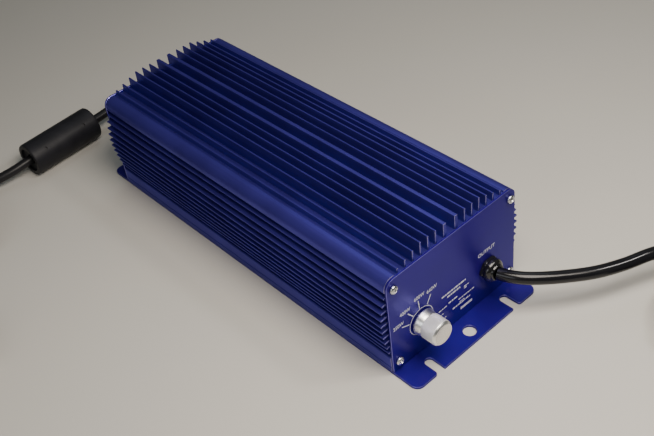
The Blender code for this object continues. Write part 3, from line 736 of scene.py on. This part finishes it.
def screw_data(name, profile, top, depth, reach):
    """Mesh data of a screw, from its profile and its cross recess below the top of its head."""
    levels = [(top - depth, [cross(0.22, reach * 0.45)]), (top + 0.4, [cross(0.5, reach * 1.15)])]
    data = mesh_of(name, lathe(profile, 40), [STEEL])
    return carve(data, [(stack(levels), Matrix.Identity(4))], 28.0)


def make_screws():
    """Pan screws in the end plates and sunk screws in the base, each turned to its own angle."""
    turn_each = 1.1
    pan = [(0, -10.0), (1.1, -10.0), (1.6, -9.4), (1.6, 0.3), (2.95, 0.3), (3.1, 0.45), (3.1, 1.0)]
    pan += [(3.03, 1.3), (2.85, 1.65), (2.5, 2.0), (2.0, 2.25), (1.35, 2.42), (0.7, 2.49), (0, 2.5)]
    head = screw_data("pan_screw", pan, 2.5, 1.5, 1.6)
    spin = 0.35
    for end, label in ((-1, "front"), (1, "rear")):
        for x, side in ((-SCREW_X, "left"), (SCREW_X, "right")):
            for z, level in zip(SCREW_HEIGHTS, ("lower", "upper")):
                turn = Matrix.Rotation(spin, 4, "Z")
                where = at(x, end * REAR, z, TO_FRONT if end < 0 else TO_REAR) @ turn
                node = f"{label}_screw_{level}_{side}"
                piece(f"case_{node}", head, where, [node])
                spin += turn_each
    flat = [(0, -7.4), (1.0, -7.4), (1.3, -7.0), (1.3, -1.6), (2.7, -0.2), (2.75, -0.1), (0, -0.1)]
    sunk = screw_data("sunk_screw", flat, -0.1, 1.0, 1.15)
    for number, (x, y) in enumerate(BASE_SCREWS, 1):
        where = at(x, y, 0, (math.pi, 0, 0)) @ Matrix.Rotation(spin, 4, "Z")
        piece(f"case_base_screw_{number}", sunk, where, [f"base_screw_{number}"])
        spin += turn_each


# Print on the front plate --------------------------------------------------------------------------


def lettering(mesh, text, x, z, width):
    """Adds raised lettering, centred on a point of the front plate, narrowed to a share of its width."""
    curve = bpy.data.curves.new("lettering", "FONT")
    curve.body = text
    curve.size = LETTER_HEIGHT / CAPITAL_SHARE
    curve.align_x = "CENTER"
    curve.align_y = "CENTER"
    curve.extrude = PRINT_HEIGHT
    curve.offset = 0.03
    writing = bpy.data.objects.new("lettering", curve)
    bpy.context.scene.collection.objects.link(writing)
    graph = bpy.context.evaluated_depsgraph_get()
    data = bpy.data.meshes.new_from_object(writing.evaluated_get(graph))
    narrow = Matrix.Diagonal((width, 1, 1, 1))
    place = Matrix.Translation((x, FRONT, z)) @ Euler(TO_FRONT).to_matrix().to_4x4()
    data.transform(place @ narrow)
    mesh.from_mesh(data)
    bpy.data.objects.remove(writing, do_unlink=True)
    bpy.data.meshes.remove(data)


def mark(mesh, outline, holes=()):
    """Adds a raised flat mark with this outline on the front plate."""
    loops = [outline, *holes]
    made = stack([(FRONT - PRINT_HEIGHT, loops), (FRONT + PRINT_HEIGHT, loops)], "Y")
    data = bpy.data.meshes.new("mark")
    made.to_mesh(data)
    made.free()
    mesh.from_mesh(data)
    bpy.data.meshes.remove(data)


# Height of the capitals, and what share of the font's size it is
LETTER_HEIGHT, CAPITAL_SHARE = 3.0, 0.7
# Labels by the knob's stops and over the gland: text, centre on the plate, share of the full width
LABELS = (
    ("250W", -52.6, 40.4, 0.86),
    ("400W", -46.2, 48.2, 0.86),
    ("600W", -33.0, 51.8, 0.86),
    ("660W", -21.6, 50.3, 0.86),
    ("OUTPUT", 31.2, 45.4, 1.0),
)
# Lengths of the small print's words in turn, then its rows: height, start, end, thickness
WORDS = (2.6, 1.5, 3.4, 2.0, 1.1)
SMALL_PRINT = (
    (34.8, -12.9, 10.4, 1.4),
    (31.7, -7.7, 5.6, 1.4),
    (29.2, 8.6, 13.2, 0.9),
    (27.6, 8.6, 11.6, 0.7),
    (25.3, -6.8, 2.6, 1.2),
    (24.2, -16.4, -8.4, 0.8),
    (21.3, 2.9, 18.4, 0.9),
    (19.6, -16.4, -11.0, 0.7),
    (18.4, 4.0, 9.0, 0.7),
    (16.8, -3.0, 14.2, 1.2),
    (15.0, -14.0, -9.0, 0.7),
)
# The ring round the knob by its radii, and its ticks by angle from the plate's right, ends and width
RING = (10.45, 10.95)
TICKS, TICK_ENDS, TICK_WIDTH = (158, 128, 96, 60), (11.6, 19.0), 0.7


def make_print():
    """The ring and ticks round the knob, the labels, and the small print as plain bars."""
    mesh = bmesh.new()
    inner, outer = (circle(KNOB_X, KNOB_Z, radius, 72) for radius in RING)
    mark(mesh, outer, [inner])
    for degrees in TICKS:
        along = Vector((math.cos(math.radians(degrees)), math.sin(math.radians(degrees))))
        side = Vector((-along.y, along.x)) * TICK_WIDTH / 2
        centre = Vector((KNOB_X, KNOB_Z))
        ends = [centre + along * reach for reach in TICK_ENDS]
        corners = [ends[0] - side, ends[1] - side, ends[1] + side, ends[0] + side]
        mark(mesh, [tuple(corner) for corner in corners])
    for text, x, z, width in LABELS:
        lettering(mesh, text, x, z, width)
    for z, low, high, width in SMALL_PRINT:
        x, word = low, 0
        while x < high - 0.4:
            run = min(WORDS[word % len(WORDS)], high - x)
            mark(mesh, box_outline(x, x + run, z - width / 2, z + width / 2))
            x += run + 0.5
            word += 1
    mark(mesh, box_outline(4.7, 16.2, 10.3, 12.4))
    data = mesh_of("front_print", mesh, [PRINT])
    piece("front_print", data)


# Selector ------------------------------------------------------------------------------------------


def make_knob():
    """Knob with a waisted skirt, a straight-knurled head and a spun face."""
    bore = [(0, 16.0), (3.2, 16.0), (3.2, 6.4), (7.2, 6.4), (7.2, 1.5)]
    skirt = [(9.3, 1.5), (9.5, 1.7), (9.55, 2.0), (9.5, 2.5), (9.3, 3.3), (9.0, 4.4), (8.75, 5.4)]
    skirt += [(8.5, 6.1), (8.3, 6.6), (8.25, 6.9)]
    head = [(8.75, 7.0), (8.9, 7.15), (9.0, 7.45), (9.0, 9.8), (9.0, 12.2), (9.0, 16.9)]
    head += [(8.9, 17.15), (8.75, 17.4), (7.8, 18.75), (7.6, 18.85), (7.4, 18.75), (0, 18.75)]
    ridges, depth = 90, 0.2

    def knurl(radius, height, angle):
        if not 7.3 < height < 17.0:
            return radius
        part = angle * ridges / (2 * math.pi) % 1.0
        return radius - depth * (1 - abs(2 * part - 1)) ** 1.5

    def paint(middle, normal):
        if normal.z > 0.9 and middle.z > 18:
            return 1
        return 2 if 7.0 < middle.z < 17.1 and middle.xy.length > 8 else 0

    solid = lathe(bore + skirt + head, 6 * ridges, knurl)
    data = mesh_of("power_knob", solid, [KNOB_SIDE, KNOB_FACE, KNOB_HEAD], 32.0, paint)
    seat = at(0, 0, 12.5, (math.pi / 2, 0, math.radians(20)))
    well = [(0, 1.0), (1.5, 1.0), (1.5, 12.0), (0, 12.0)]
    data = carve(data, [(lathe(well, 24), seat)], 32.0)
    where = at(KNOB_X, FRONT, KNOB_Z, TO_FRONT)
    piece("power_knob", data, where, ["knob"], "selector")


# Glands and strain relief --------------------------------------------------------------------------


def make_gland(prefix, x, end, cord_radius):
    """Cable gland at an end: its flanged body through the plate, and its domed nut."""
    where = at(x, end * REAR, GLAND_Z, TO_FRONT if end < 0 else TO_REAR)
    bore = cord_radius + 0.5
    flats = (6, 8.2)
    body = [(bore, -9.0), (6.6, -9.0), (6.6, 0.3), (8.9, 0.3, *flats), (9.2, 0.6, *flats)]
    body += [(9.2, 2.3, *flats), (8.7, 2.9, *flats), (bore, 2.9)]
    data = mesh_of(f"{prefix}_gland_flange", lathe(body, 96), [NYLON], 28.0)
    piece(f"{prefix}_gland_flange", data, where, [f"{prefix}_gland_body"])
    flats = (12, 8.45)
    nut = [(bore, 3.1), (8.4, 3.1), (8.65, 3.35, *flats), (8.7, 4.1, *flats), (8.6, 4.8), (8.4, 5.5)]
    nut += [(8.05, 6.2), (7.6, 6.8), (7.0, 7.3), (6.5, 7.6), (6.3, 8.0), (6.1, 8.6), (5.8, 8.9)]
    nut += [(cord_radius + 0.35, 9.0), (cord_radius + 0.12, 8.8), (bore, 7.0)]
    data = mesh_of(f"{prefix}_gland_cap", lathe(nut, 96), [NYLON], 28.0)
    piece(f"{prefix}_gland_cap", data, where, [f"{prefix}_gland_nut"])


def make_strain_relief():
    """Tapered sleeve with grooves across it, which let the real sleeve bend."""
    bore = INPUT_DIAMETER / 2 + 0.25
    sleeve = [(bore, 9.6), (6.4, 9.6), (6.6, 9.8), (6.6, 11.6)]
    height = 12.2
    while height < 28.0:
        outer = 6.5 - 0.055 * (height - 12.0)
        sleeve += [(outer - 1.0, height), (outer - 1.0, height + 0.7), (outer, height + 0.9)]
        sleeve += [(outer, height + 2.3)]
        height += 2.6
    sleeve += [(5.3, 29.6), (5.0, 30.4), (bore + 0.4, 30.6), (bore, 30.2)]
    data = mesh_of("mains_strain_relief", lathe(sleeve, 64), [MOULDED])
    where = at(INPUT_X, REAR, GLAND_Z, TO_REAR)
    return piece("mains_strain_relief", data, where, ["input_strain_relief"])


# Pieces on the leads -------------------------------------------------------------------------------


def make_ferrite():
    """Moulded shell over a ferrite core, with a ridge where its two halves meet, a lip round each end
    and two latch holes in the side that faces up and to the front."""
    start, end = (Vector(p) for p in FERRITE_ENDS)
    along = end - start
    length, outer, bore = along.length, FERRITE_RADIUS, INPUT_DIAMETER / 2 + 0.5
    shell = [(bore, 3.0), (bore + 0.3, 2.7), (outer - 4.4, 2.2), (outer - 4.1, 1.9)]
    shell += [(outer - 4.1, 0.3), (outer - 3.8, 0), (outer - 1.4, 0), (outer - 0.5, 0.3)]
    shell += [(outer - 0.1, 1.0), (outer, 2.0)]
    shell += [(radius, length - height) for radius, height in reversed(shell)]

    def seam(radius, height, angle):
        if radius < outer - 3:
            return radius
        off = abs(math.sin(angle)) * radius
        return radius + 0.16 * max(0.0, 1 - off / 0.8)

    data = mesh_of("ferrite_shell", lathe(shell, 128, seam), [FERRITE])
    turn = Vector((0, 0, 1)).rotation_difference(along).to_matrix().to_4x4()
    facing = turn.inverted() @ Vector((0.1, -0.75, 0.65))
    facing = Vector((facing.x, facing.y, 0)).normalized()
    aim = Vector((0, 0, 1)).rotation_difference(facing).to_matrix().to_4x4()
    pits = []
    for height in (0.2 * length, 0.8 * length):
        middle = Vector((0, 0, height)) + facing * (outer - 1.2)
        pit = lathe([(0, 0), (1.1, 0), (1.3, 0.2), (1.3, 3.0), (0, 3.0)], 24)
        pits.append((pit, Matrix.Translation(middle * MM) @ aim))
    data = carve(data, pits)
    where = Matrix.Translation(start * MM) @ turn
    return piece("ferrite_shell", data, where, ["ferrite_core"])


def make_plug():
    """Mains plug with a ribbed neck and grip, and its three pins."""
    x, y, z = INPUT_TAIL[-1]
    where = at(x, y - 0.3, z, TO_FRONT)
    body = [(0, 0), (4.8, 0), (5.2, 0.4)]
    for k in range(5):
        outer = 5.3 + 0.22 * k
        body += [(outer, 0.6 + 2.6 * k), (outer + 0.1, 2.2 + 2.6 * k)]
        body += [(outer - 0.9, 2.4 + 2.6 * k), (outer - 0.9, 3.0 + 2.6 * k)]
    body += [(6.6, 13.8), (7.4, 15.2), (9.2, 18.2), (11.3, 21.6), (12.5, 23.8)]
    for k in range(4):
        outer = 12.8 + 0.15 * k
        body += [(outer, 24.6 + 2.6 * k), (outer + 0.1, 26.2 + 2.6 * k)]
        body += [(outer - 0.5, 26.5 + 2.6 * k), (outer - 0.5, 27.0 + 2.6 * k)]
    body += [(13.3, 35.4), (13.4, 36.4), (13.4, 43.4), (13.1, 44.4), (12.4, 45.0), (0, 45.0)]
    data = mesh_of("mains_plug_body", lathe(body, 72), [MOULDED])
    made = [piece("mains_plug_body", data, where, ["mains_plug"])]
    blades = [box_outline(low, low + 1.5, -3.2, 3.2, 0.6) for low in (-7.1, 5.6)]
    for number, outline in enumerate([*blades, circle(0, 6.5, 2.4, 24)], 1):
        solid = sheet(outline, 43.0, 62.0, bevel=0.5)
        data = mesh_of(f"mains_pin_{number}", solid, [CONTACT], 50.0)
        made.append(piece(f"mains_pin_{number}", data, where))
    return made


def make_connector():
    """Round in-line connector with a ribbed collar and sunk sockets."""
    x, y, z = OUTPUT_TAIL[-1]
    where = at(x - 0.3, y, z, (0, -math.pi / 2, 0))
    body = [(0, 0), (5.6, 0), (6.0, 0.4)]
    for k in range(4):
        outer = 6.0 + 0.25 * k
        body += [(outer, 0.6 + 2.7 * k), (outer + 0.1, 2.3 + 2.7 * k)]
        body += [(outer - 0.9, 2.5 + 2.7 * k), (outer - 0.9, 3.1 + 2.7 * k)]
    body += [(7.1, 11.8), (7.8, 13.4), (9.5, 16.0), (12.2, 18.8), (13.5, 20.4), (13.9, 22.2)]
    body += [(13.9, 24.0), (13.9, 26.0), (13.95, 26.2), (13.95, 43.6), (13.9, 44.0), (13.9, 46.0)]
    body += [(13.4, 46.6), (13.0, 47.0), (13.0, 54.2), (12.5, 54.9), (11.9, 55.0), (11.4, 54.6)]
    body += [(11.4, 52.0), (0, 52.0)]

    flutes = 24

    def grip(radius, height, angle):
        if not 26.1 < height < 43.7:
            return radius
        part = angle * flutes / (2 * math.pi) % 1.0
        return radius - 0.7 * max(0.0, math.sin(math.pi * part)) ** 0.6

    data = mesh_of("lamp_connector_body", lathe(body, 8 * flutes, grip), [MOULDED], 34.0)
    made = [piece("lamp_connector_body", data, where, ["lamp_connector"])]
    pitch_radius = 5.6
    for number, degrees in enumerate((90, 210, 330), 1):
        angle = math.radians(degrees)
        a, b = pitch_radius * math.cos(angle), pitch_radius * math.sin(angle)
        socket = [(1.4, 51.0), (2.2, 51.0), (2.2, 53.2), (2.0, 53.4), (1.6, 53.4), (1.4, 53.2)]
        data = mesh_of(f"lamp_socket_{number}", lathe(socket, 24), [CONTACT])
        spot = where @ Matrix.Translation((a * MM, b * MM, 0))
        made.append(piece(f"lamp_socket_{number}", data, spot))
    return made


def make_tie(prefix, centre, inner, outer, high, turn):
    """Strap round a coil's bundle, with its free end lapped over the outside. Its inner face is flat,
    so it stands in from the bundle's inner radius."""
    half = 7.0
    near = math.sqrt(inner**2 - half**2) - 0.3
    far = outer + 0.3
    hole = box_outline(near, far, 1.1, high + 1.7, 1.6, 6)
    outline = box_outline(near - 1.0, far + 1.0, 0.1, high + 2.7, 2.6, 6)
    band = sheet(outline, -half, half, [hole], 0.3, "Y")
    where = at(*centre, 0, (0, 0, math.radians(turn)))
    data = mesh_of(f"{prefix}_strap", band, [STRAP], 40.0)
    strap = piece(f"{prefix}_strap", data, where, [f"{prefix}_tie"])
    lap = box_outline(far + 1.02, far + 1.9, high * 0.3, high * 0.8, 0.4, 3)
    end = sheet(lap, 0.6 - half, half - 0.6, axis="Y")
    data = mesh_of(f"{prefix}_strap_end", end, [STRAP], 40.0)
    return [strap, piece(f"{prefix}_strap_end", data, where)]


make_case()
make_plates()
make_screws()
make_print()
make_knob()
make_gland("output", OUTPUT_X, -1, OUTPUT_DIAMETER / 2)
make_gland("input", INPUT_X, 1, INPUT_DIAMETER / 2)
relief = make_strain_relief()
ferrite = make_ferrite()
plug = make_plug()
connector = make_connector()
output_strap = make_tie("output", OUTPUT_COIL, 36.0, 54.0, 27.0, 150.0)
input_strap = make_tie("input", INPUT_COIL, 32.0, 48.0, 24.0, -45.0)


# CAD nodes that show as they are -------------------------------------------------------------------

CAD_FINISHES = {
    "knob_set_screw": STEEL,
    "selector_shaft": STEEL,
    "selector_washer": STEEL,
    "transistor_clamp": STEEL,
    "selector_nut": BRASS,
    "selector_switch": EPOXY,
    "bridge_rectifier": EPOXY,
    "output_relay": EPOXY,
    "output_gland_locknut": NYLON,
    "input_gland_locknut": NYLON,
    "circuit_board": BOARD,
    "input_terminal": TERMINAL,
    "output_terminal": TERMINAL,
    "emi_choke": WINDING,
    "output_transformer": WINDING,
    "suppression_capacitor": TAPE,
    "boost_inductor": TAPE,
    "ignition_coil": TAPE,
    "bulk_capacitor_1": SLEEVE,
    "bulk_capacitor_2": SLEEVE,
    "thermal_pad": PAD,
    "insulation_sheet": FILM,
    "input_fuse": GLASS,
    "power_transistor_1": EPOXY,
    "power_transistor_2": EPOXY,
    "power_transistor_3": EPOXY,
    "power_transistor_4": EPOXY,
}
for name, finish in CAD_FINISHES.items():
    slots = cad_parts[name].data.materials
    for i in range(len(slots)):
        slots[i] = finish


# Floor and light -----------------------------------------------------------------------------------

FLOOR = finish_of(
    "pale_floor", (0.61, 0.59, 0.54), (0.63, 0.61, 0.56),
    roughness=0.5, spread=0.04, patches=3.0, grain=60.0, bump=0.01, specular=0.3,
)  # fmt: skip
floor_mesh = bmesh.new()
FLOOR_REACH = 4.0
for a, b in ((-1, -1), (1, -1), (1, 1), (-1, 1)):
    floor_mesh.verts.new((a * FLOOR_REACH, b * FLOOR_REACH, 0))
floor_mesh.faces.new(floor_mesh.verts)
floor_data = bpy.data.meshes.new("floor")
floor_mesh.to_mesh(floor_data)
floor_mesh.free()
floor_data.materials.append(FLOOR)
floor = bpy.data.objects.new("floor", floor_data)
bpy.context.scene.collection.objects.link(floor)


def area_light(name, place, target, size, power, colour):
    """Rectangular light at a place that points at a target, in metres and watts."""
    light = bpy.data.lights.new(name, "AREA")
    light.shape = "RECTANGLE"
    light.size, light.size_y = size
    light.energy = power
    light.color = colour
    made = bpy.data.objects.new(name, light)
    made.location = place
    aim = Vector(target) - Vector(place)
    made.rotation_euler = aim.to_track_quat("-Z", "Y").to_euler()
    bpy.context.scene.collection.objects.link(made)


area_light("key", (-0.05, -0.34, 0.58), (-0.03, -0.2, 0), (0.36, 0.36), 4.7, (1.0, 0.91, 0.81))
area_light("front_right", (0.33, -0.48, 0.74), (0.06, -0.2, 0), (0.11, 0.11), 1.5, (1.0, 0.96, 0.92))
area_light("left", (-0.75, -0.25, 0.4), (-0.05, -0.05, 0.03), (0.5, 0.3), 1.0, (0.95, 0.97, 1.0))
area_light("back", (0.5, 0.3, 0.9), (0.2, 0.1, 0), (0.5, 0.5), 0.85, (0.85, 0.94, 1.0))

world = bpy.data.worlds.new("studio")
world.use_nodes = True
background = world.node_tree.nodes["Background"]
background.inputs["Color"].default_value = (0.92, 0.98, 0.97, 1)
background.inputs["Strength"].default_value = 0.08
bpy.context.scene.world = world
